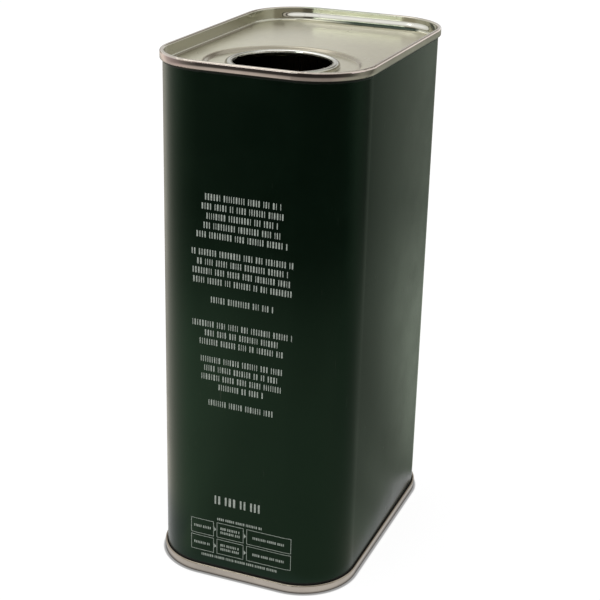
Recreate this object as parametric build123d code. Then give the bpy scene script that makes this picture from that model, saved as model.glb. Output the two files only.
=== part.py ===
from build123d import *
from math import copysign, cos, radians, sin
import os

# One litre rectangular tin for olive oil, with an open pouring mouth in its top end.
# Origin: middle of the tin's outline, on the plane that it stands on.
# +Z up, +X across the narrow front face, -Y out of the narrow front face.
# All lengths are in millimetres.

# Driving sizes of the whole tin
overall_height = 174.0
body_width = 67.2
body_depth = 99.6
corner_radius = 18.6
body_gauge = 0.24
end_gauge = 0.24

# Double seams: a hook of the body and a hook of the end, folded together
top_seam_height = 2.8
bottom_seam_height = 3.2
seam_clearance = 0.05
crown_bend_radius = 0.45
hook_end_clearance = 0.10
sealing_space = 0.15
sealing_clearance = 0.02
sealing_skirt = 0.20

# Recess of the two ends inside their seams
top_countersink = 4.5
bottom_countersink = 4.2
countersink_bend_radius = 1.0

# Pouring mouth: a shallow dish, an upright neck and an outward curl
mouth_setback = 29.3
mouth_radius = 15.3
curl_outer_radius = 17.9
curl_rise = 1.5
curl_inner_bend_radius = 0.5
curl_outer_bend_radius = 0.9
curl_end_clearance = 0.10
neck_foot_bend_radius = 0.32
dish_radius = 25.0
dish_depth = 1.1
dish_bend_radius = 0.8
dish_slope_angle = 50.0

# Expansion step in the bottom end
step_setback = 9.0
step_depth = 0.9
step_bend_radius = 1.2
step_slope_angle = 40.0

# Lap weld that closes the body, up the middle of the narrow back face
weld_width = 0.8
weld_gauge_share = 1.4
weld_end_margin = 1.5

right_angle = 90.0
half_turn = 180.0

# Middles of the five sheets across a seam, measured outwards from the body's face
chuck_wall_middle = -(body_gauge + seam_clearance + end_gauge / 2)
body_wall_middle = -body_gauge / 2
cover_hook_middle = seam_clearance + end_gauge / 2
body_hook_middle = 2 * seam_clearance + end_gauge + body_gauge / 2
seaming_wall_middle = 3 * seam_clearance + 1.5 * end_gauge + body_gauge

# Bends of the two hooks, and their heights under the seam's crown
body_hook_radius = (body_hook_middle - body_wall_middle) / 2
body_hook_centre = (body_hook_middle + body_wall_middle) / 2
body_hook_turn = -end_gauge - sealing_space - body_gauge / 2 - body_hook_radius
cover_hook_radius = (seaming_wall_middle - cover_hook_middle) / 2


def cover_hook_turn(seam_height):
    return end_gauge / 2 + cover_hook_radius - seam_height


# A bent sheet in section. Its middle line starts at a point and a heading, and goes
# on by moves: a straight run, then a bend by an angle (positive is left) at a radius.
def bent_sheet(start, heading, moves, gauge):
    edges = []
    starts = []
    stops = []
    for side in (1, -1):
        direction = Vector(1, 0).rotate(Axis.Z, heading)
        square_off = direction.rotate(Axis.Z, side * right_angle)
        point = Vector(*start) + square_off * (gauge / 2)
        starts.append(point)
        for run, angle, radius in moves:
            if run > 0:
                edges.append(Edge.make_line(point, point + direction * run))
                point = point + direction * run
            if angle:
                face_radius = radius - side * copysign(gauge / 2, angle)
                bend = JernArc(point, direction, face_radius, angle)
                edges.append(bend.edge())
                point = bend @ 1
                direction = direction.rotate(Axis.Z, angle)
        stops.append(point)
    edges.append(Edge.make_line(*starts))
    edges.append(Edge.make_line(*stops))
    return Face(Wire(edges))


# Slope of a step in a sheet, between its two equal bends
def step_slope(depth, bend_radius, angle):
    depth_of_bends = 2 * bend_radius * (1 - cos(radians(angle)))
    return (depth - depth_of_bends) / sin(radians(angle))


# Length that a step takes up along the sheet
def step_length(depth, bend_radius, angle):
    slope = step_slope(depth, bend_radius, angle)
    return slope * cos(radians(angle)) + 2 * bend_radius * sin(radians(angle))


# Carries a section round the body's rounded outline. In the section, x is the
# distance outside the body's face and y is the height.
def ring_round_body(section):
    outline = RectangleRounded(body_width, body_depth, corner_radius).face().outer_wire()
    outward = (outline % 0).cross(Vector(0, 0, 1))
    if outward.dot(outline @ 0) < 0:
        outward = -outward
    across = Plane(origin=outline @ 0, x_dir=outward, z_dir=outward.cross(Vector(0, 0, 1)))
    return sweep(across * section, path=outline)


# A flat plate with the body's outline, grown or shrunk by an offset from its face
def plate(offset, bottom, thickness):
    outline = RectangleRounded(
        body_width + 2 * offset, body_depth + 2 * offset, corner_radius + offset
    )
    return Pos(0, 0, bottom) * extrude(outline, thickness)


# Rim of an end with its crown at height zero: the panel's own moves come first, then
# the chuck wall, the crown, the seaming wall and the cover hook.
def end_rim(seam_height, countersink, start, panel_moves):
    crown_land = seaming_wall_middle - chuck_wall_middle - 2 * crown_bend_radius
    chuck_wall = countersink - countersink_bend_radius - crown_bend_radius
    seaming_wall = -end_gauge / 2 - crown_bend_radius - cover_hook_turn(seam_height)
    hook = body_hook_turn - hook_end_clearance - cover_hook_turn(seam_height)
    moves = panel_moves + [
        (chuck_wall, -right_angle, crown_bend_radius),
        (crown_land, -right_angle, crown_bend_radius),
        (seaming_wall, -half_turn, cover_hook_radius),
        (hook, 0, 0),
    ]
    return ring_round_body(bent_sheet(start, 0, moves, end_gauge))


# Dish, neck and curl round the mouth, turned about the mouth's axis. Height zero is
# the top face of the panel.
def mouth_ring():
    seat = -dish_depth
    neck_middle = mouth_radius + end_gauge / 2
    curl_top_middle = seat + curl_rise - end_gauge / 2
    curl_leg_middle = curl_outer_radius - end_gauge / 2
    slope = step_slope(dish_depth, dish_bend_radius, dish_slope_angle)
    dish_floor_radius = dish_radius - step_length(dish_depth, dish_bend_radius, dish_slope_angle)
    dish_floor = dish_floor_radius - neck_middle - neck_foot_bend_radius
    neck = curl_top_middle - curl_inner_bend_radius - (seat - end_gauge / 2 + neck_foot_bend_radius)
    curl_land = curl_leg_middle - curl_outer_bend_radius - neck_middle - curl_inner_bend_radius
    curl_leg = curl_top_middle - curl_outer_bend_radius - seat - curl_end_clearance
    moves = [
        (0, dish_slope_angle, dish_bend_radius),
        (slope, -dish_slope_angle, dish_bend_radius),
        (dish_floor, -right_angle, neck_foot_bend_radius),
        (neck, -right_angle, curl_inner_bend_radius),
        (curl_land, -right_angle, curl_outer_bend_radius),
        (curl_leg, 0, 0),
    ]
    section = bent_sheet((dish_radius, -end_gauge / 2), half_turn, moves, end_gauge)
    return revolve(Plane.XZ * section, Axis.Z)


# Top end: a flat panel in the recess, with the pouring mouth towards the front
def top_end():
    panel_edge = chuck_wall_middle - countersink_bend_radius
    panel_middle = -top_countersink - end_gauge / 2
    chuck_bend = [(0, right_angle, countersink_bend_radius)]
    rim = end_rim(top_seam_height, top_countersink, (panel_edge, panel_middle), chuck_bend)
    panel = plate(panel_edge, -top_countersink - end_gauge, end_gauge)
    mouth = Pos(0, mouth_setback - body_depth / 2, -top_countersink)
    panel -= mouth * Cylinder(dish_radius, 2 * end_gauge)
    end = rim + panel + mouth * mouth_ring()
    return Pos(0, 0, overall_height) * end


# Bottom end: the same seam upside down, and a panel with one expansion step
def bottom_end():
    length = step_length(step_depth, step_bend_radius, step_slope_angle)
    slope = step_slope(step_depth, step_bend_radius, step_slope_angle)
    inner_edge = chuck_wall_middle - step_setback - length
    inner_middle = step_depth - bottom_countersink - end_gauge / 2
    panel_moves = [
        (0, -step_slope_angle, step_bend_radius),
        (slope, step_slope_angle, step_bend_radius),
        (step_setback - countersink_bend_radius, right_angle, countersink_bend_radius),
    ]
    rim = end_rim(bottom_seam_height, bottom_countersink, (inner_edge, inner_middle), panel_moves)
    panel = plate(inner_edge, inner_middle - end_gauge / 2, end_gauge)
    return mirror(rim + panel, about=Plane.XY)


# Body: one sheet bent round and welded, with an outward hook at each end
def body_wall():
    top_turn = overall_height + body_hook_turn
    bottom_turn = -body_hook_turn
    top_tip = overall_height + cover_hook_turn(top_seam_height) + hook_end_clearance
    bottom_tip = -cover_hook_turn(bottom_seam_height) - hook_end_clearance
    moves = [
        (top_turn - top_tip, half_turn, body_hook_radius),
        (top_turn - bottom_turn, half_turn, body_hook_radius),
        (bottom_tip - bottom_turn, 0, 0),
    ]
    wall = ring_round_body(bent_sheet((body_hook_middle, top_tip), right_angle, moves, body_gauge))
    return wall + side_weld()


# Thicker line where the two edges of the body's sheet lap and are welded
def side_weld():
    bottom = bottom_countersink + weld_end_margin
    top = overall_height - top_countersink - weld_end_margin
    middle = Pos(0, body_depth / 2 + body_wall_middle, (top + bottom) / 2)
    return middle * Box(weld_width, weld_gauge_share * body_gauge, top - bottom)


# Sealing compound: a soft ring squeezed between the crown and the body hook
def seam_compound():
    left = chuck_wall_middle + end_gauge / 2 + sealing_clearance
    right = seaming_wall_middle - end_gauge / 2 - sealing_clearance
    top = -end_gauge - sealing_clearance
    corner = crown_bend_radius - end_gauge / 2 - sealing_clearance
    cavity = Pos((left + right) / 2, (top + body_hook_turn) / 2)
    space = cavity * Rectangle(right - left, top - body_hook_turn)
    space = fillet(space.vertices().group_by(Axis.Y)[-1], corner)
    hook = Circle(body_hook_radius + body_gauge / 2 + sealing_clearance)
    space -= Pos(body_hook_centre, body_hook_turn) * hook
    skirt = Rectangle(2 * (right - left), 2 * sealing_skirt)
    space -= Pos(body_hook_centre, body_hook_turn) * skirt
    return ring_round_body(space.face())


def top_seam_compound():
    return Pos(0, 0, overall_height) * seam_compound()


def bottom_seam_compound():
    return mirror(seam_compound(), about=Plane.XY)


os.makedirs("parts", exist_ok=True)
for piece in (body_wall, top_end, bottom_end, top_seam_compound, bottom_seam_compound):
    solid = piece().solid()
    export_step(solid, "parts/" + piece.__name__ + ".step")
    print(piece.__name__, round(solid.volume, 1), "mm3", "valid" if solid.is_valid else "not valid")
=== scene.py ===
import math
import random
import bmesh
import bpy
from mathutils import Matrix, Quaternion, Vector


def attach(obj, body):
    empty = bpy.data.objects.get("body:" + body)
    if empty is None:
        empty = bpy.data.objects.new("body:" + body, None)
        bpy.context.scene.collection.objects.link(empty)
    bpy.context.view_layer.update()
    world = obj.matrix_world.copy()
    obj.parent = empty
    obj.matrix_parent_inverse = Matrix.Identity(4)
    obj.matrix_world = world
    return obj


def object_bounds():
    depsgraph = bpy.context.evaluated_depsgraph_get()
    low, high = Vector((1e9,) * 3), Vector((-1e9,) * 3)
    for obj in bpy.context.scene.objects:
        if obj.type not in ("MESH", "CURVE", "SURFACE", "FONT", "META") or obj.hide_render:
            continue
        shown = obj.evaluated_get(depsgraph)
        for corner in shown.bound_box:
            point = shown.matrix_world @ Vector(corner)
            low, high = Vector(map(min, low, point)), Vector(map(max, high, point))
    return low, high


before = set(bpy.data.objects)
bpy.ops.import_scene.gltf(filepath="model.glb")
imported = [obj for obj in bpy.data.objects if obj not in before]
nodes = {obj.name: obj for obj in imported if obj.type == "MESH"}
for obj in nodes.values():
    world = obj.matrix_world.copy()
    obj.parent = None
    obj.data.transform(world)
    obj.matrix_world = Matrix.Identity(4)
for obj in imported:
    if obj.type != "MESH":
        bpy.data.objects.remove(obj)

# One litre oil tin: green enamelled wall, bare tinplate ends, open pouring mouth.
# Metres, +Z up, the narrow printed face looks along -Y.

mm = 0.001
cadBox = [list(corner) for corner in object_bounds()]
tinHeight = cadBox[1][2] - cadBox[0][2]
print("frame loaded:", ", ".join(sorted(nodes)))


# small helpers for node trees

noiseSpan = (0.3, 0.7)       # nearly all of a noise lies between these


def newMaterial(name):
    material = bpy.data.materials.new(name)
    material.use_nodes = True
    material.node_tree.nodes.clear()
    return material, material.node_tree


def addNode(tree, kind, inputs=None, **settings):
    node = tree.nodes.new("ShaderNode" + kind)
    for key, value in settings.items():
        setattr(node, key, value)
    for key, value in (inputs or {}).items():
        if isinstance(value, bpy.types.NodeSocket):
            tree.links.new(value, node.inputs[key])
        else:
            node.inputs[key].default_value = value
    return node


def calc(tree, operation, first, second=0.0, third=0.0):
    return addNode(tree, "Math", {0: first, 1: second, 2: third}, operation=operation).outputs[0]


def product(tree, *factors):
    result = factors[0]
    for factor in factors[1:]:
        result = calc(tree, "MULTIPLY", result, factor)
    return result


def over(tree, value, limit):
    # 1 where the value is over the limit, 0 elsewhere
    return calc(tree, "GREATER_THAN", value, limit)


def under(tree, value, limit):
    return calc(tree, "LESS_THAN", value, limit)


def remainder(tree, share):
    return calc(tree, "SUBTRACT", 1.0, share)


def ramp(tree, fac, low, high, toLow=0.0, toHigh=1.0, smooth=False):
    kind = "SMOOTHSTEP" if smooth else "LINEAR"
    node = addNode(tree, "MapRange", {
        "Value": fac, "From Min": low, "From Max": high, "To Min": toLow, "To Max": toHigh},
        interpolation_type=kind, clamp=True)
    return node.outputs[0]


def fade(tree, fac, full, gone, smooth=False):
    # 1 up to full, then down to 0 at gone
    return ramp(tree, fac, full, gone, 1.0, 0.0, smooth)


def between(tree, fac, limits):
    # rises from 0 to 1, stays, and falls back to 0
    start, full, fading, gone = limits
    return product(tree, ramp(tree, fac, start, full), fade(tree, fac, fading, gone))


def blendValues(tree, fac, first, second):
    return addNode(tree, "Mix", {0: fac, 2: first, 3: second}).outputs[0]


def blendColours(tree, fac, first, second):
    return addNode(tree, "Mix", {0: fac, 6: first, 7: second}, data_type="RGBA").outputs[2]


def tintColour(tree, fac, colour, tint):
    node = addNode(tree, "Mix", {0: fac, 6: colour, 7: tint}, data_type="RGBA", blend_type="MULTIPLY")
    return node.outputs[2]


def objectPoint(tree):
    return addNode(tree, "TexCoord").outputs["Object"]


def splitAxes(tree, vector):
    return addNode(tree, "SeparateXYZ", {0: vector}).outputs


def lengthOf(tree, vector):
    return addNode(tree, "VectorMath", {0: vector}, operation="LENGTH").outputs["Value"]


def stretched(tree, where, stretch):
    return addNode(tree, "Mapping", {"Vector": where, "Scale": stretch}).outputs[0]


def noise(tree, where, scale, detail, rough):
    node = addNode(tree, "TexNoise", {
        "Vector": where, "Scale": scale, "Detail": detail, "Roughness": rough})
    return node.outputs["Fac"]


def bump(tree, height, distance, strength=1.0, base=None):
    # height times distance is in metres; base is the bump under this one
    inputs = {"Height": height, "Distance": distance, "Strength": strength}
    if base is not None:
        inputs["Normal"] = base
    return addNode(tree, "Bump", inputs).outputs[0]


def finishWith(tree, shader):
    addNode(tree, "OutputMaterial", {"Surface": shader.outputs[0]})


# camera

camera = {
    "lens": 84.0,          # mm on a 36 mm sensor
    "yaw": 21.46,          # degrees round from the narrow front face
    "pitch": 21.66,
    "roll": 1.48,
    "place": (0.9397, -2.3932, 1.4985),   # shares of the tin's height
}


def makeCamera():
    data = bpy.data.cameras.new("camera")
    data.lens = camera["lens"]
    eye = bpy.data.objects.new("camera", data)
    bpy.context.scene.collection.objects.link(eye)
    yaw, pitch, roll = (math.radians(camera[key]) for key in ("yaw", "pitch", "roll"))
    level = math.cos(pitch)
    forward = Vector((-math.sin(yaw) * level, math.cos(yaw) * level, -math.sin(pitch)))
    eye.rotation_mode = "QUATERNION"
    eye.rotation_quaternion = forward.to_track_quat("-Z", "Y") @ Quaternion((0, 0, 1), roll)
    eye.location = Vector(camera["place"]) * tinHeight
    bpy.context.scene.camera = eye


makeCamera()
print("camera placed")

# the wall's outline, which the studio, the paint and the print all follow

wall = {
    "width": 67.2 * mm,
    "depth": 99.6 * mm,
    "cornerRadius": 18.6 * mm,
    "gauge": 0.24 * mm,
    "seamEdges": (3.2 * mm, 171.2 * mm),     # where the bottom and top seams begin
    "bulge": 0.0028,                         # slope of a face, per mm from its middle
}


def distanceFromWall(tree, place):
    # distance outside the wall's painted face, measured from its rounded outline
    radius = wall["cornerRadius"]
    pastX, pastY = (
        calc(tree, "SUBTRACT", calc(tree, "ABSOLUTE", place[axis]), size / 2 - radius)
        for axis, size in (("X", wall["width"]), ("Y", wall["depth"])))
    corner = addNode(tree, "CombineXYZ", {
        0: calc(tree, "MAXIMUM", pastX, 0.0), 1: calc(tree, "MAXIMUM", pastY, 0.0)})
    inside = calc(tree, "MINIMUM", calc(tree, "MAXIMUM", pastX, pastY), 0.0)
    fromMiddle = calc(tree, "ADD", lengthOf(tree, corner.outputs[0]), inside)
    return calc(tree, "SUBTRACT", fromMiddle, radius)


def faceBulge(tree, place):
    # height of the slight outward bow of the four faces
    height = 0.0
    for axis, size in (("X", wall["width"]), ("Y", wall["depth"])):
        halfFlat = size / 2 - wall["cornerRadius"]
        reach = calc(tree, "MINIMUM", calc(tree, "ABSOLUTE", place[axis]), halfFlat)
        height = calc(tree, "ADD", height, product(tree, reach, reach, -wall["bulge"] / mm / 2))
    return height


# studio: white room, pale floor, soft lamps, and cards that only reflections see

studio = {
    "daylight": 0.62,                    # world strength on the object
    "floorSize": 6.0,
    "floorColour": (0.22, 0.22, 0.22, 1),
    "mottleColour": (0.27, 0.27, 0.27, 1),
    "mottle": (40, 3, 0.5),              # noise scale, detail and roughness
    "mottleShare": 0.06,
    "floorGlow": 0.87,                   # brings the floor up to white in the picture
    "contactShadow": (0.0012, 0.0018),         # the glow fades out under the tin's edge: a painted contact shadow
    "contactGlow": 0.25,
}

lamps = {
    # name: place, aimed at, width and height, watts
    "key lamp": ((0.75, -0.75, 1.05), (0, 0, 0.10), (0.7, 0.7), 2.6),
    "fill lamp": ((-0.95, -0.35, 0.75), (0, 0, 0.10), (0.8, 0.8), 1.2),
    "back lamp": ((0.10, 0.95, 0.95), (0, 0, 0.12), (0.6, 0.6), 1.6),
    "top lamp": ((-0.42, -0.10, 1.20), (0, 0, 0.17), (0.6, 0.8), 2.0),
    "strip lamp": ((-0.300, -1.005, 0.36), (0, 0, 0.17), (0.30, 0.14), 0.65),
}
# these show in the metal, in these colours; the others only light the tin
shiningLamps = {"top lamp": (1.0, 1.0, 1.0), "strip lamp": (0.90, 1.0, 0.92)}

cards = {
    # name: left foot, right foot, and (height, shade) up the card
    "front flag": (
        (-0.40, -1.15), (0.45, -1.15),
        ((0.00, 0.03), (0.31, 0.03), (0.35, 0.42), (0.41, 0.42), (0.46, 0.03), (0.90, 0.03),
         (1.05, 1.00))),
    "left flag": (
        (-1.20, -0.75), (-0.40, -1.15),
        ((0.00, 0.10), (0.17, 0.12), (0.27, 0.70), (0.80, 0.75))),
    "corner flag": (
        (0.30, -1.05), (1.20, -0.10),
        ((0.00, 0.03), (0.26, 0.03), (0.34, 0.65), (0.52, 0.65), (0.60, 0.03), (0.70, 0.03),
         (0.85, 1.00))),
    "left back flag": (
        (-1.088, 0.507), (-0.311, 1.159),
        ((0.00, 0.25), (0.22, 0.28), (0.34, 1.00))),
    "back flag": (
        (-0.42, 1.20), (0.68, 1.20),
        ((0.50, 0.80), (0.58, 0.40), (1.30, 0.32))),
}
cardTint = (1.0, 0.93, 0.87, 1)

mat = {
    "size": 2.6,
    "height": 0.0004,
    "tint": (0.97, 0.98, 0.83, 1),
    "rightTint": (0.90, 1.02, 0.83, 1),      # greener on the right
    "rightFrom": (65, 85),                   # degrees round from the front
    "leftTint": (1.01, 0.955, 0.845, 1),     # and warmer on the left
    "leftFrom": (-65, -40),
    "reach": (0.20, 0.40),                   # near shades inside the first, far ones past the second
    "foot": (0.004, 0.014),                  # a light strip close round the tin
    "footEdge": (0.0010, 0.0020),            # which darkens right under the tin's edge
    "footShades": (0.12, 0.65),
    # across from, to, and how many times the distance from the tin counts past there
    "leftFoot": (-0.042, -0.030, 0.30),      # so the strip is wider on the left
    "rightFoot": (0.020, 0.036, 1.7),        # and narrower on the right
    # degrees round from the front, shade when near, shade when far
    "shades": [
        (-180, 0.40, 0.28), (-155, 0.20, 0.40), (-140, 0.18, 0.50), (-111, 0.80, 1.00),
        (-82, 0.95, 0.60), (-52, 0.95, 0.28), (-35, 0.90, 0.18), (-25, 0.85, 0.09),
        (-18, 0.52, 0.05), (0, 0.46, 0.04), (60, 0.46, 0.05), (85, 0.36, 0.07),
        (108, 0.28, 0.24), (125, 0.30, 0.18), (138, 0.24, 0.10), (146, 0.28, 0.20),
        (152, 0.37, 0.25), (160, 0.46, 0.27), (176, 0.50, 0.28), (180, 0.40, 0.28)],
}


def seenDirectly(tree):
    path = addNode(tree, "LightPath")
    seen = calc(tree, "MAXIMUM", path.outputs["Is Camera Ray"], path.outputs["Is Glossy Ray"])
    return calc(tree, "MAXIMUM", seen, path.outputs["Is Transmission Ray"])


def makeWorld():
    world = bpy.data.worlds.new("white room")
    bpy.context.scene.world = world
    world.use_nodes = True
    tree = world.node_tree
    tree.nodes.clear()
    strength = ramp(tree, seenDirectly(tree), 0, 1, studio["daylight"], 1.0)
    light = addNode(tree, "Background", {"Color": (1, 1, 1, 1), "Strength": strength})
    addNode(tree, "OutputWorld", {"Surface": light.outputs[0]})


def addPlane(name, corners, material):
    mesh = bpy.data.meshes.new(name)
    mesh.from_pydata(corners, [], [(0, 1, 2, 3)])
    mesh.materials.append(material)
    plane = bpy.data.objects.new(name, mesh)
    bpy.context.scene.collection.objects.link(plane)
    return plane


def levelSquare(size, height):
    half = size / 2
    return [(-half, -half, height), (half, -half, height), (half, half, height), (-half, half, height)]


def onlyInReflections(card):
    card.visible_camera = False
    card.visible_diffuse = False
    card.visible_transmission = False
    card.visible_shadow = False
    card.visible_volume_scatter = False


def makeFloor():
    material, tree = newMaterial("pale floor")
    point = objectPoint(tree)
    mottle = ramp(tree, noise(tree, point, *studio["mottle"]), *noiseSpan, 0, studio["mottleShare"])
    base = blendColours(tree, mottle, studio["floorColour"], studio["mottleColour"])
    matt = addNode(tree, "BsdfDiffuse", {"Color": base})
    outside = distanceFromWall(tree, splitAxes(tree, point))
    # painted contact shadow: the glow fades out right under the tin's edge
    contactShadow = ramp(tree, outside, *studio["contactShadow"], studio["contactGlow"], 1.0)
    strength = product(tree, contactShadow, studio["floorGlow"], seenDirectly(tree))
    glow = addNode(tree, "Emission", {"Strength": strength})
    finishWith(tree, addNode(tree, "AddShader", {0: matt.outputs[0], 1: glow.outputs[0]}))
    addPlane("floor", levelSquare(studio["floorSize"], 0), material)


def stopsRamp(tree, fac, stops):
    # a grey ramp from (position, shade) stops
    node = addNode(tree, "ValToRGB", {"Fac": fac})
    elements = node.color_ramp.elements
    while len(elements) < len(stops):
        elements.new(0.5)
    for element, (position, shade) in zip(elements, stops):
        element.position = position
        element.color = (shade, shade, shade, 1)
    return node.outputs["Color"]


def matTint(tree, angle):
    rightShare = ramp(tree, angle, *(math.radians(turn) for turn in mat["rightFrom"]))
    leftShare = fade(tree, angle, *(math.radians(turn) for turn in mat["leftFrom"]))
    tint = blendColours(tree, rightShare, mat["tint"], mat["rightTint"])
    return blendColours(tree, leftShare, tint, mat["leftTint"])


def makeMat():
    material, tree = newMaterial("grey mat")
    point = objectPoint(tree)
    place = splitAxes(tree, point)
    angle = calc(tree, "ARCTAN2", place["X"], product(tree, place["Y"], -1.0))
    heading = calc(tree, "ADD", calc(tree, "DIVIDE", angle, 2 * math.pi), 0.5)
    near = stopsRamp(tree, heading, [((turn + 180) / 360, shade) for turn, shade, _ in mat["shades"]])
    far = stopsRamp(tree, heading, [((turn + 180) / 360, shade) for turn, _, shade in mat["shades"]])
    shade = blendColours(tree, ramp(tree, lengthOf(tree, point), *mat["reach"], smooth=True), near, far)
    shade = tintColour(tree, 1.0, shade, matTint(tree, angle))

    outside = distanceFromWall(tree, place)
    begin, end, left = mat["leftFoot"]
    counted = product(tree, outside, ramp(tree, place["X"], begin, end, left, 1.0))
    begin, end, right = mat["rightFoot"]
    counted = product(tree, counted, ramp(tree, place["X"], begin, end, 1.0, right))
    foot = ramp(tree, outside, *mat["footEdge"], *mat["footShades"])
    shade = blendColours(tree, ramp(tree, counted, *mat["foot"], smooth=True), foot, shade)
    finishWith(tree, addNode(tree, "Emission", {"Color": shade}))
    onlyInReflections(addPlane("mat", levelSquare(mat["size"], mat["height"]), material))


def makeCards():
    for name, (left, right, shades) in cards.items():
        base, top = shades[0][0], shades[-1][0]
        material, tree = newMaterial(name)
        height = splitAxes(tree, objectPoint(tree))["Z"]
        share = calc(tree, "DIVIDE", calc(tree, "SUBTRACT", height, base), top - base)
        grey = stopsRamp(tree, share, [((z - base) / (top - base), shade) for z, shade in shades])
        finishWith(tree, addNode(tree, "Emission", {"Color": tintColour(tree, 1.0, grey, cardTint)}))
        corners = [(*left, base), (*right, base), (*right, top), (*left, top)]
        onlyInReflections(addPlane(name, corners, material))


def makeLamps():
    for name, (place, aim, size, watts) in lamps.items():
        data = bpy.data.lights.new(name, "AREA")
        data.shape = "RECTANGLE"
        data.size, data.size_y = size
        data.energy = watts
        lamp = bpy.data.objects.new(name, data)
        lamp.location = place
        lamp.rotation_euler = (Vector(aim) - Vector(place)).to_track_quat("-Z", "Y").to_euler()
        lamp.visible_camera = False
        lamp.visible_glossy = name in shiningLamps
        if name in shiningLamps:
            data.color = shiningLamps[name]
        bpy.context.scene.collection.objects.link(lamp)


makeWorld()
makeFloor()
makeMat()
makeCards()
makeLamps()
print("studio set up")

# body: the painted sheet, with a bare strip along its weld and lacquer inside

enamel = {
    "green": (0.0066, 0.0235, 0.0118, 1),
    "lighterGreen": (0.0082, 0.0280, 0.0142, 1),
    "metallic": 0.80,                        # a dark lacquer over bright metal
    "roughness": (0.18, 0.27),               # from smooth to dull
    "dullEdges": (0.35, 0.70),               # of the noise between them
    "varnish": 0.12,                         # clear coat
    "varnishRoughness": 0.16,
    "crease": (0.0015, 0.0020, 0.0015, 1),   # painted shade in the groove along each seam
    "creaseReach": (0.35 * mm, 0.80 * mm),
    "creaseWander": 0.12 * mm,               # how far its edge wanders
    "creaseRoughness": 0.5,                  # added to the paint's own
    "dust": (0.085, 0.095, 0.080, 1),        # on fine specks and hairline scuffs
    "dustShare": 0.22,
    "speckEdges": (0.76, 0.80),
    "scuffEdges": (0.68, 0.74),
    "scuffPatches": (0.55, 0.66),
    "scuffStretch": (1, 1, 0.06),            # small numbers draw a noise out that way
    "scuffRoughness": 0.12,
    "scuffDepth": 0.002 * mm,
    "scuffStrength": 0.6,
    "peelDepth": 0.003 * mm,                 # orange peel in the paint
    "waveHeight": 0.18 * mm,                 # slow waves in the sheet
    "waveStretch": (1, 1, 0.45),
    "inside": (0.26, 0.20, 0.115, 1),        # the lacquer in the tin
    "insideThin": 0.25,                      # how much metal shows through it
    "noises": {
        # scale, detail, roughness
        "drift": (22, 3, 0.55),
        "grain": (2600, 2, 0.5),
        "specks": (1500, 1, 0.4),
        "scuffs": (1400, 2, 0.4),
        "scuffPatches": (60, 2, 0.5),
        "crease": (500, 3, 0.6),
        "dull": (70, 4, 0.6),
        "waves": (26, 1, 0.4),
        "peel": (900, 2, 0.5),
    },
}

weld = {
    "margin": 2.6 * mm,                      # bare strip each side of the weld
    "wander": 0.08 * mm,                     # how far its edge wanders
    "wanderNoise": (700, 3, 0.6),
    "bright": (0.50, 0.48, 0.42, 1),
    "dull": (0.36, 0.34, 0.29, 1),
    "brushing": (2600, 3, 0.6),
    "brushingStretch": (1, 1, 0.015),
    "brushingShare": 0.7,                    # the rest of the pattern is the paint's drift
    "brightFrom": (0.40, 0.62),
    "roughness": (0.24, 0.36),
    "burnt": (0.17, 0.15, 0.14, 1),          # heat tinted line where the sheet's edges meet
    "burntReach": (0.35 * mm, 0.55 * mm),
    "burntShare": (0.72, 0.18),              # middle, and swing from mark to mark
    "pitch": 0.9 * mm,                       # between the marks of the welding wheel
}


def enamelNoise(tree, where, name):
    return noise(tree, where, *enamel["noises"][name])


def weldStrip(tree, point, place):
    # 1 on the bare strip up the middle of the back
    wander = noise(tree, point, *weld["wanderNoise"])
    wander = ramp(tree, wander, *noiseSpan, -weld["wander"], weld["wander"])
    aside = calc(tree, "ADD", calc(tree, "ABSOLUTE", place["X"]), wander)
    return product(tree, under(tree, aside, weld["margin"]), over(tree, place["Y"], 0.0))


def seamCreaseShade(tree, point, place):
    # 1 where a painted shade darkens the paint next to each seam
    low, high = wall["seamEdges"]
    toSeam = calc(tree, "MINIMUM", calc(tree, "SUBTRACT", place["Z"], low),
                  calc(tree, "SUBTRACT", high, place["Z"]))
    wander = enamel["creaseWander"]
    ragged = ramp(tree, enamelNoise(tree, point, "crease"), *noiseSpan, -wander, wander)
    return fade(tree, calc(tree, "ADD", toSeam, ragged), *enamel["creaseReach"])


def weldMetal(tree, place, brushed, drift):
    share = weld["brushingShare"]
    cloudy = calc(tree, "ADD", product(tree, brushed, share), product(tree, drift, 1 - share))
    metal = blendColours(tree, ramp(tree, cloudy, *weld["brightFrom"]), weld["dull"], weld["bright"])
    line = fade(tree, calc(tree, "ABSOLUTE", place["X"]), *weld["burntReach"], smooth=True)
    turns = product(tree, place["Z"], 2 * math.pi / weld["pitch"])
    middle, swing = weld["burntShare"]
    marks = calc(tree, "ADD", product(tree, calc(tree, "SINE", turns), swing), middle)
    return blendColours(tree, product(tree, line, marks), metal, weld["burnt"])


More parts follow.
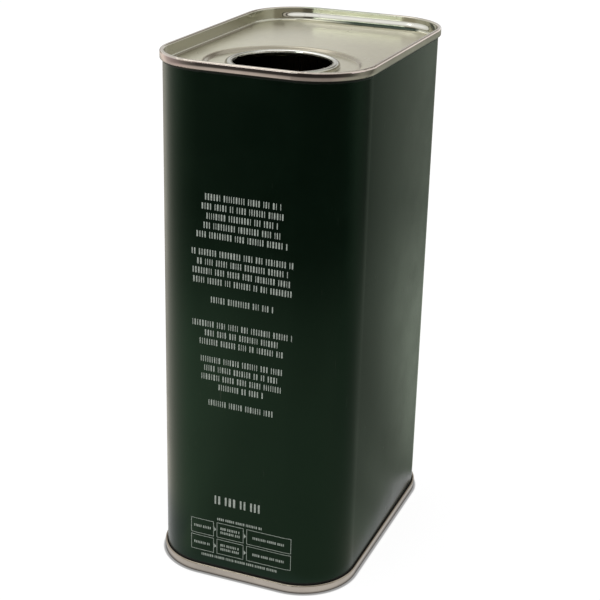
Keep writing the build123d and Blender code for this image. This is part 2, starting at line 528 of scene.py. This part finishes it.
def makeEnamel():
    material, tree = newMaterial("green enamel")
    point = objectPoint(tree)
    place = splitAxes(tree, point)
    outside = over(tree, distanceFromWall(tree, place), -wall["gauge"] / 2)
    painted = product(tree, outside, remainder(tree, weldStrip(tree, point, place)))
    crease = product(tree, seamCreaseShade(tree, point, place), outside)

    # colour: a slow drift in the green, fine specks, a few hairline scuffs
    drift = enamelNoise(tree, point, "drift")
    green = blendColours(tree, ramp(tree, drift, *noiseSpan), enamel["green"], enamel["lighterGreen"])
    specks = ramp(tree, enamelNoise(tree, point, "specks"), *enamel["speckEdges"])
    hair = enamelNoise(tree, stretched(tree, point, enamel["scuffStretch"]), "scuffs")
    patches = enamelNoise(tree, point, "scuffPatches")
    scuffs = product(tree, ramp(tree, hair, *enamel["scuffEdges"]),
                     ramp(tree, patches, *enamel["scuffPatches"]))
    dusty = product(tree, calc(tree, "MAXIMUM", specks, scuffs), enamel["dustShare"])
    paint = blendColours(tree, dusty, green, enamel["dust"])
    brushed = noise(tree, stretched(tree, point, weld["brushingStretch"]), *weld["brushing"])
    thin = ramp(tree, enamelNoise(tree, point, "grain"), *noiseSpan, 0, enamel["insideThin"])
    inside = blendColours(tree, thin, enamel["inside"], weld["dull"])
    bare = blendColours(tree, outside, inside, weldMetal(tree, place, brushed, drift))
    colour = blendColours(tree, painted, bare, paint)
    # painted shade along the groove next to each seam
    colour = blendColours(tree, crease, colour, enamel["crease"])

    # finish
    patchy = enamelNoise(tree, point, "dull")
    patchy = ramp(tree, patchy, *enamel["dullEdges"], *enamel["roughness"])
    worn = calc(tree, "ADD", patchy, product(tree, scuffs, enamel["scuffRoughness"]))
    rough = blendValues(tree, painted, ramp(tree, brushed, *noiseSpan, *weld["roughness"]), worn)
    rough = calc(tree, "ADD", rough, product(tree, crease, enamel["creaseRoughness"]))
    metallic = product(tree, ramp(tree, painted, 0, 1, 1.0, enamel["metallic"]), remainder(tree, crease))
    bowed = bump(tree, faceBulge(tree, place), 1.0)
    waves = enamelNoise(tree, stretched(tree, point, enamel["waveStretch"]), "waves")
    wavy = bump(tree, waves, enamel["waveHeight"], base=bowed)
    peel = bump(tree, enamelNoise(tree, point, "peel"), enamel["peelDepth"], base=wavy)
    scratched = bump(tree, scuffs, enamel["scuffDepth"], enamel["scuffStrength"], peel)
    shader = addNode(tree, "BsdfPrincipled", {
        "Base Color": colour,
        "Metallic": metallic,
        "Roughness": rough,
        "Coat Weight": enamel["varnish"],
        "Coat Roughness": enamel["varnishRoughness"],
        "Normal": scratched,
        "Coat Normal": scratched})
    finishWith(tree, shader)
    return material


# tinplate: rolled grain, faint spangle, handling stains

tinplate = {
    "bright": (0.570, 0.548, 0.425, 1),
    "dull": (0.500, 0.477, 0.365, 1),
    "brightFrom": (0.36, 0.60),
    "upright": (0.46, 0.455, 0.37, 1),       # the recess's wall, darker than the panel: a painted shade
    # stains, and also painted shade on the dish's slope and the bottom seam's upper bend
    "tarnishAndShade": (0.25, 0.21, 0.16, 1),
    "stainEdges": (0.64, 0.76),
    "stainShare": 0.25,
    "stainRoughness": 0.2,
    "flat": (0.70, 0.97),                    # upward part of the normal, from upright to flat
    "leaning": (0.15, 0.45),                 # and from upright to leaning
    "panelRoughness": (0.27, 0.34),
    "wornSmooth": 0.10,                      # the crown and the curl are this much smoother
    "bandRoughness": (0.11, 0.10),           # on upright metal, and on its bends
    "grainShare": 0.2,                       # of the grain in the blotches
    "grainDepth": 0.0005 * mm,
    "alongStretch": (1, 0.02, 1),            # the sheet was rolled lengthwise
    "roundStretch": (0.02, 0.02, 1),         # and the rollers went round the seams
    "spangleScale": 420.0,
    "spangleReach": 0.8,
    "spangleRoughness": (-0.015, 0.02),
    "dentHeight": 0.02 * mm,
    "noises": {
        # scale, detail, roughness
        "along": (3000, 2, 0.6),
        "round": (4200, 2, 0.6),
        "cloud": (45, 4, 0.6),
        "stains": (260, 4, 0.65),
        "dents": (70, 1, 0.4),
    },
}

seam = {
    "bright": (0.66, 0.590, 0.515, 1),       # burnished by the rollers
    "dull": (0.52, 0.465, 0.405, 1),
    "reach": (-0.50 * mm, -0.25 * mm),       # where the recess's wall turns into the seam
    "endReflection": (0.78, 0.715, 0.82, 1),       # the top seam's band has a browner, darker painted reflection round the ends
    "sideReflection": (1.48, 1.37, 1.47, 1),       # and a brighter painted reflection along the two long sides
    "sideReach": (26 * mm, 32 * mm),
    "crown": (0.40, 0.365, 0.305, 1),        # darker on each seam's flat top, a painted shade
    "rearShade": (0.50, 0.64, 0.54, 1),       # darker and greener along the back, also painted shade
    "rearShadeFrom": (47 * mm, 49 * mm),
    "rearShadeAcross": (-26 * mm, -20 * mm, 6 * mm, 14 * mm),
    "leanFrom": 173.0 * mm,                  # the top seam's band leans in below this
    "leanPerMm": 0.38,                       # how fast its slope grows
    "footHeight": 10 * mm,                   # the seam under this has painted shade on its upper bend
    "footShade": 0.75,
    "footShadeFrom": (0.1, 0.5),
}

recess = {
    # along the back its wall turns in more softly, with a painted highlight on it there
    "bendFrom": (44 * mm, 47 * mm),
    "bendHeights": (170.3 * mm, 172.4 * mm),
    "bendReach": 0.95 * mm,                  # how far its foot comes into the recess
    # painted highlight on the steep part of that bend
    "bent": (0.78, 0.77, 0.71, 1),
    "bendShade": (0.034, 0.046, 0.035, 1),       # painted shade, a dark line along that bend's foot
    "bendShadeHeights": (169.53 * mm, 170.20 * mm, 170.55 * mm),     # foot, full up to, gone
    "bendShadeFrom": 47.5 * mm,
    "bendShadeAcross": (-17 * mm, -2 * mm, 21 * mm, 24 * mm),        # from, full, fading, gone
}

mouth = {
    "setback": 20.5 * mm,                    # in front of the tin's middle
    "crest": 16.55 * mm,                     # radius of the curl's highest line
    "edges": (15.3 * mm, 18.0 * mm),         # radius inside and outside the curl
    "floor": 168.6 * mm,                     # the curl lies above this
    "roundPerMm": 0.60,                      # how fast the curl's top falls away from its crest
    "curl": (0.50, 0.49, 0.42, 1),
    # the curl's flat top, darker as a painted shade
    "curlTopShade": (0.36, 0.36, 0.31, 1),
    "rearHighlight": (0.86, 0.86, 0.80, 1),         # painted highlight on the curl's inner half at the rear
    "rearHighlightFrom": (-13 * mm, -8 * mm),
    "rearHighlightReach": (16.2 * mm, 16.8 * mm),
    "slope": (24.1 * mm, 1.3 * mm),          # middle and half width of the dish's sloping ring
    "slopeShade": 0.62,                       # how much painted shade darkens it
    "slopeRoughness": 0.14,
}


def tinplateNoise(tree, where, name):
    return noise(tree, where, *tinplate["noises"][name])


def onTop(tree, place):
    return over(tree, place["Z"], tinHeight / 2)


def seamLean(tree, place):
    # the top seam's outer band leans in towards its hook
    below = calc(tree, "MAXIMUM", calc(tree, "SUBTRACT", seam["leanFrom"], place["Z"]), 0.0)
    outer = over(tree, distanceFromWall(tree, place), wall["gauge"])
    return product(tree, below, below, -seam["leanPerMm"] / mm / 2, outer, onTop(tree, place))


def rearBend(tree, place):
    # height of the soft bend along the back of the recess, and how steep it is, up to 1
    share = ramp(tree, place["Z"], *recess["bendHeights"], smooth=True)
    inside = under(tree, distanceFromWall(tree, place), -wall["gauge"])
    there = product(tree, ramp(tree, place["Y"], *recess["bendFrom"]), inside)
    height = product(tree, remainder(tree, share), recess["bendReach"], there)
    steep = product(tree, share, remainder(tree, share), 4.0, there)
    return height, steep


def rearBendShade(tree, place):
    # 1 on the painted shade along the foot of the rear bend
    lowest, full, gone = recess["bendShadeHeights"]
    height = product(tree, over(tree, place["Z"], lowest), fade(tree, place["Z"], full, gone))
    atRear = over(tree, place["Y"], recess["bendShadeFrom"])
    return product(tree, height, atRear, between(tree, place["X"], recess["bendShadeAcross"]))


def mouthRadius(tree, place):
    fromMouth = addNode(tree, "CombineXYZ", {
        0: place["X"], 1: calc(tree, "ADD", place["Y"], mouth["setback"])})
    return lengthOf(tree, fromMouth.outputs[0])


def onCurl(tree, place, radius):
    inner, outer = mouth["edges"]
    ring = product(tree, over(tree, radius, inner), under(tree, radius, outer))
    return product(tree, ring, over(tree, place["Z"], mouth["floor"]))


def curlRound(tree, radius, curl):
    # the curl's top is rolled round, about its crest
    off = calc(tree, "SUBTRACT", radius, mouth["crest"])
    return product(tree, off, off, -mouth["roundPerMm"] / mm / 2, curl)


def dishSlope(tree, radius):
    middle, half = mouth["slope"]
    off = calc(tree, "ABSOLUTE", calc(tree, "SUBTRACT", radius, middle))
    return ramp(tree, off, 0, half, mouth["slopeShade"], 0, smooth=True)


def seamMetal(tree, place, blotch, facingUp, flat):
    metal = blendColours(tree, blotch, seam["dull"], seam["bright"])
    # painted reflection on the top seam's band: darker round the ends, brighter along the long sides
    side = ramp(tree, calc(tree, "ABSOLUTE", place["X"]), *seam["sideReach"])
    tint = blendColours(tree, side, seam["endReflection"], seam["sideReflection"])
    band = product(tree, fade(tree, facingUp, *tinplate["leaning"]), onTop(tree, place))
    metal = tintColour(tree, band, metal, tint)
    # painted shade on each seam's flat top
    metal = blendColours(tree, flat, metal, seam["crown"])
    # more painted shade, greener, on the crown along the back
    rearShadeShare = product(tree, ramp(tree, place["Y"], *seam["rearShadeFrom"]),
                   between(tree, place["X"], seam["rearShadeAcross"]),
                   ramp(tree, facingUp, *tinplate["leaning"]))
    metal = tintColour(tree, rearShadeShare, metal, seam["rearShade"])
    # painted shade on the bottom seam's upper bend
    bottomBendShade = product(tree, under(tree, place["Z"], seam["footHeight"]),
                   ramp(tree, facingUp, *seam["footShadeFrom"], 0, seam["footShade"]))
    return blendColours(tree, bottomBendShade, metal, tinplate["tarnishAndShade"])


def curlMetal(tree, place, radius, flat):
    # the curl's flat top is darker: painted shade
    metal = blendColours(tree, flat, mouth["curl"], mouth["curlTopShade"])
    # painted highlight on the curl's inner half at the rear
    rearHighlight = product(tree, ramp(tree, place["Y"], *mouth["rearHighlightFrom"]),
                     fade(tree, radius, *mouth["rearHighlightReach"]))
    return blendColours(tree, rearHighlight, metal, mouth["rearHighlight"])


def makeTinplate():
    material, tree = newMaterial("tinplate")
    point = objectPoint(tree)
    place = splitAxes(tree, point)
    normal = splitAxes(tree, addNode(tree, "NewGeometry").outputs["Normal"])
    facingUp = calc(tree, "ABSOLUTE", normal["Z"])
    flat = ramp(tree, facingUp, *tinplate["flat"], smooth=True)
    rim = ramp(tree, distanceFromWall(tree, place), *seam["reach"])
    radius = mouthRadius(tree, place)
    curl = onCurl(tree, place, radius)
    slope = dishSlope(tree, radius)
    bendHeight, bendSteep = rearBend(tree, place)

    # colour
    along = tinplateNoise(tree, stretched(tree, point, tinplate["alongStretch"]), "along")
    roundSeam = tinplateNoise(tree, stretched(tree, point, tinplate["roundStretch"]), "round")
    grain = blendValues(tree, flat, roundSeam, along)
    cloud = tinplateNoise(tree, point, "cloud")
    share = tinplate["grainShare"]
    blotch = calc(tree, "ADD", product(tree, cloud, 1 - share), product(tree, grain, share))
    blotch = ramp(tree, blotch, *tinplate["brightFrom"])
    metal = blendColours(tree, blotch, tinplate["dull"], tinplate["bright"])
    # the rear bend's steep part gets a painted highlight
    upright = blendColours(tree, bendSteep, tinplate["upright"], recess["bent"])
    # the recess's upright wall takes the darker colour, a painted shade
    metal = blendColours(tree, flat, upright, metal)
    # painted shade along the foot of the rear bend
    metal = blendColours(tree, rearBendShade(tree, place), metal, recess["bendShade"])
    # painted shade on the dish's sloping ring
    metal = blendColours(tree, slope, metal, tinplate["tarnishAndShade"])
    metal = blendColours(tree, rim, metal, seamMetal(tree, place, blotch, facingUp, flat))
    metal = blendColours(tree, curl, metal, curlMetal(tree, place, radius, flat))
    stains = tinplateNoise(tree, point, "stains")
    stains = ramp(tree, stains, *tinplate["stainEdges"], 0.0, tinplate["stainShare"])
    colour = blendColours(tree, stains, metal, tinplate["tarnishAndShade"])

    # finish
    spangle = addNode(tree, "TexVoronoi", {"Vector": point, "Scale": tinplate["spangleScale"]})
    spangle = ramp(tree, spangle.outputs["Distance"], 0, tinplate["spangleReach"],
                   *tinplate["spangleRoughness"])
    panel = calc(tree, "ADD", ramp(tree, cloud, *noiseSpan, *tinplate["panelRoughness"]), spangle)
    bend = ramp(tree, facingUp, *tinplate["leaning"], *tinplate["bandRoughness"], smooth=True)
    rough = blendValues(tree, flat, bend, panel)
    rough = calc(tree, "ADD", rough, product(tree, stains, tinplate["stainRoughness"]))
    slopeRough = product(tree, slope, mouth["slopeRoughness"] / mouth["slopeShade"])
    rough = calc(tree, "ADD", rough, slopeRough)
    worn = product(tree, calc(tree, "MAXIMUM", rim, curl), flat)
    rough = calc(tree, "MULTIPLY_ADD", worn, -tinplate["wornSmooth"], rough)
    pressing = calc(tree, "ADD", seamLean(tree, place), curlRound(tree, radius, curl))
    pressed = bump(tree, calc(tree, "ADD", pressing, bendHeight), 1.0)
    dents = bump(tree, tinplateNoise(tree, point, "dents"), tinplate["dentHeight"], base=pressed)
    lines = bump(tree, grain, tinplate["grainDepth"], base=dents)
    shader = addNode(tree, "BsdfPrincipled", {
        "Base Color": colour, "Metallic": 1.0, "Roughness": rough, "Normal": lines})
    finishWith(tree, shader)
    return material


sealing = {
    "pale": (0.40, 0.38, 0.34, 1),
    "dark": (0.30, 0.28, 0.25, 1),
    "lumps": (1200, 3, 0.6),
    "lumpHeight": 0.01 * mm,
    "roughness": (0.6, 0.8),
}


def makeSealing():
    material, tree = newMaterial("sealing compound")
    lumps = noise(tree, objectPoint(tree), *sealing["lumps"])
    colour = blendColours(tree, ramp(tree, lumps, *noiseSpan), sealing["pale"], sealing["dark"])
    shader = addNode(tree, "BsdfPrincipled", {
        "Base Color": colour,
        "Roughness": ramp(tree, lumps, *noiseSpan, *sealing["roughness"]),
        "Normal": bump(tree, lumps, sealing["lumpHeight"])})
    finishWith(tree, shader)
    return material


nodeMaterials = {
    "body_wall": makeEnamel(),
    "top_end": makeTinplate(),
    "top_seam_compound": makeSealing(),
}
nodeMaterials["bottom_end"] = nodeMaterials["top_end"]
nodeMaterials["bottom_seam_compound"] = nodeMaterials["top_seam_compound"]
for name, node in nodes.items():
    for slot in node.material_slots:
        slot.material = nodeMaterials[name]
print("enamel, tinplate and sealing compound on", len(nodes), "nodes")

# print on the narrow front face: rows of plain blocks, and a ruled table of them

ink = {
    "pale": (0.62, 0.665, 0.61, 1),
    "thin": (0.41, 0.455, 0.40, 1),
    "patches": (1500, 3, 0.6),
    "paleFrom": (0.35, 0.65),
    "roughness": (0.38, 0.52),
    "specular": 0.3,
    "grainDepth": 0.003 * mm,
    "thickness": 0.03 * mm,
    "gap": 0.004 * mm,                       # under the ink, over the paint
    "step": 0.9 * mm,                        # longest straight piece round a corner
    "cut": 0.1 * mm,                         # off the corners of a block
}


def makeInk():
    material, tree = newMaterial("pale ink")
    patchy = noise(tree, objectPoint(tree), *ink["patches"])
    colour = blendColours(tree, ramp(tree, patchy, *ink["paleFrom"]), ink["thin"], ink["pale"])
    shader = addNode(tree, "BsdfPrincipled", {
        "Base Color": colour,
        "Roughness": ramp(tree, patchy, *noiseSpan, *ink["roughness"]),
        "Specular IOR Level": ink["specular"],
        "Normal": bump(tree, patchy, ink["grainDepth"])})
    finishWith(tree, shader)
    return material


def onWall(along, height, outward):
    # along runs round the wall's outline from the middle of the front face
    radius = wall["cornerRadius"]
    flat = wall["width"] / 2 - radius
    middle = wall["depth"] / 2 - radius
    turn = max(abs(along) - flat, 0.0) / radius
    x = min(abs(along), flat) + (radius + outward) * math.sin(turn)
    return Vector((math.copysign(x, along), -middle - (radius + outward) * math.cos(turn), height))


def inkPatch(mesh, left, right, low, high, cut=0.0):
    # a thin closed tile that follows the wall; cut takes its corners off
    count = max(1, math.ceil((right - left) / ink["step"]))
    steps = [left + (right - left) * i / count for i in range(count + 1)]
    insets = [0.0] * len(steps)
    if cut:
        steps = sorted({*steps, left + cut, right - cut})
        insets = [cut if along in (steps[0], steps[-1]) else 0.0 for along in steps]
    columns = []
    for along, inset in zip(steps, insets):
        corners = []
        for outward in (ink["gap"], ink["gap"] + ink["thickness"]):
            for z in (low + inset, high - inset):
                corners.append(mesh.verts.new(onWall(along, z, outward)))
        columns.append(corners)      # inner low, inner high, outer low, outer high
    for a, b in zip(columns, columns[1:]):
        mesh.faces.new((a[2], b[2], b[3], a[3]))
        mesh.faces.new((a[1], b[1], b[0], a[0]))
        mesh.faces.new((a[3], b[3], b[1], a[1]))
        mesh.faces.new((a[0], b[0], b[2], a[2]))
    a, b = columns[0], columns[-1]
    mesh.faces.new((a[0], a[2], a[3], a[1]))
    mesh.faces.new((b[1], b[3], b[2], b[0]))


def inkPiece(name, build, material):
    mesh = bmesh.new()
    build(mesh)
    bmesh.ops.recalc_face_normals(mesh, faces=mesh.faces)
    data = bpy.data.meshes.new(name)
    mesh.to_mesh(data)
    mesh.free()
    data.materials.append(material)
    piece = bpy.data.objects.new(name, data)
    bpy.context.scene.collection.objects.link(piece)
    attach(piece, "root")


textRows = {
    "seed": 5,
    "middle": 0.1,                           # of the rows, mm right of the face's middle
    # block height, block widths, gap between blocks, gap between words, blocks in a word
    "blocks": (2.05, (0.20, 0.52), 0.50, 1.20, (2, 9)),
    # height and half length of each row, in mm
    "rows": [
        (132.7, 12.5), (129.65, 13.6), (126.6, 12.0), (123.55, 13.0), (120.5, 15.4),
        (114.7, 17.1), (111.65, 15.2), (108.6, 16.8), (105.5, 16.6),
        (99.4, 10.5),
        (91.0, 16.9), (87.95, 12.6), (84.9, 14.4),
        (78.9, 14.0), (75.85, 12.8), (72.8, 13.8), (69.75, 7.8),
        (63.9, 11.3)],
    "largeRow": (28.7, 9.0),
    "largeBlocks": (3.1, (0.45, 0.85), 0.75, 1.7, (2, 5)),
}


def blockRow(mesh, dice, middle, height, half, blocks):
    # words of plain blocks, all lengths in mm
    tall, widths, blockGap, wordGap, wordLength = blocks
    along, left = -half, dice.randint(*wordLength)
    while along < half - widths[0]:
        width = min(dice.uniform(*widths), half - along)
        inkPatch(mesh, (middle + along) * mm, (middle + along + width) * mm,
                 (height - tall / 2) * mm, (height + tall / 2) * mm, ink["cut"])
        left -= 1
        along += width + (blockGap if left else wordGap)
        left = left or dice.randint(*wordLength)


def textBlock(mesh):
    dice = random.Random(textRows["seed"])
    for height, half in textRows["rows"]:
        blockRow(mesh, dice, textRows["middle"], height, half, textRows["blocks"])
    blockRow(mesh, dice, 0.0, *textRows["largeRow"], textRows["largeBlocks"])


table = {
    # all lengths in mm
    "line": 0.15,
    "rows": ((8.3, 13.9), (14.6, 20.2)),     # low and high edges
    "columns": ((-17.7, -9.3), (-8.2, 1.5), (2.6, 18.4)),
    "rowsInBox": (1, 2, 1),
    "rowPitch": 1.5,
    "rowHalf": 0.36,                         # half length of a box's rows, as a share of its width
    "captions": ((21.6, 8.1), (6.9, 13.9)),  # height and half length
    "blocks": (0.95, (0.26, 0.46), 0.28, 0.6, (3, 8)),
    "arrow": (0.80, 1.6),                    # width and height
    "arrowGap": 0.18,
}


def frameBox(mesh, left, right, low, high, line):
    bottom = (left, right, low, low + line)
    top = (left, right, high - line, high)
    leftSide = (left, left + line, low + line, high - line)
    rightSide = (right - line, right, low + line, high - line)
    for edges in (bottom, top, leftSide, rightSide):
        inkPatch(mesh, *(edge * mm for edge in edges))


def arrowTile(mesh, left, middle):
    width, tall = table["arrow"]
    points = ((left, middle - tall / 2), (left + width, middle), (left, middle + tall / 2))
    rings = []
    for outward in (ink["gap"], ink["gap"] + ink["thickness"]):
        rings.append([mesh.verts.new(onWall(along * mm, z * mm, outward)) for along, z in points])
    inner, outer = rings
    mesh.faces.new(outer)
    mesh.faces.new(inner[::-1])
    for i in range(3):
        mesh.faces.new((inner[i], inner[(i + 1) % 3], outer[(i + 1) % 3], outer[i]))


def ruledTable(mesh):
    dice = random.Random(textRows["seed"] + 1)
    for low, high in table["rows"]:
        middle = (low + high) / 2
        for (left, right), count in zip(table["columns"], table["rowsInBox"]):
            frameBox(mesh, left, right, low, high, table["line"])
            half = (right - left) * table["rowHalf"]
            for i in range(count):
                height = middle + (i - (count - 1) / 2) * table["rowPitch"]
                blockRow(mesh, dice, (left + right) / 2, height, half, table["blocks"])
        for column in table["columns"][:2]:
            arrowTile(mesh, column[1] + table["arrowGap"], middle)
    for height, half in table["captions"]:
        blockRow(mesh, dice, textRows["middle"], height, half, table["blocks"])


inkMaterial = makeInk()
inkPiece("print_rows", textBlock, inkMaterial)
inkPiece("print_table", ruledTable, inkMaterial)
print("print laid on the front face")

bpy.context.scene.view_settings.view_transform = "Standard"
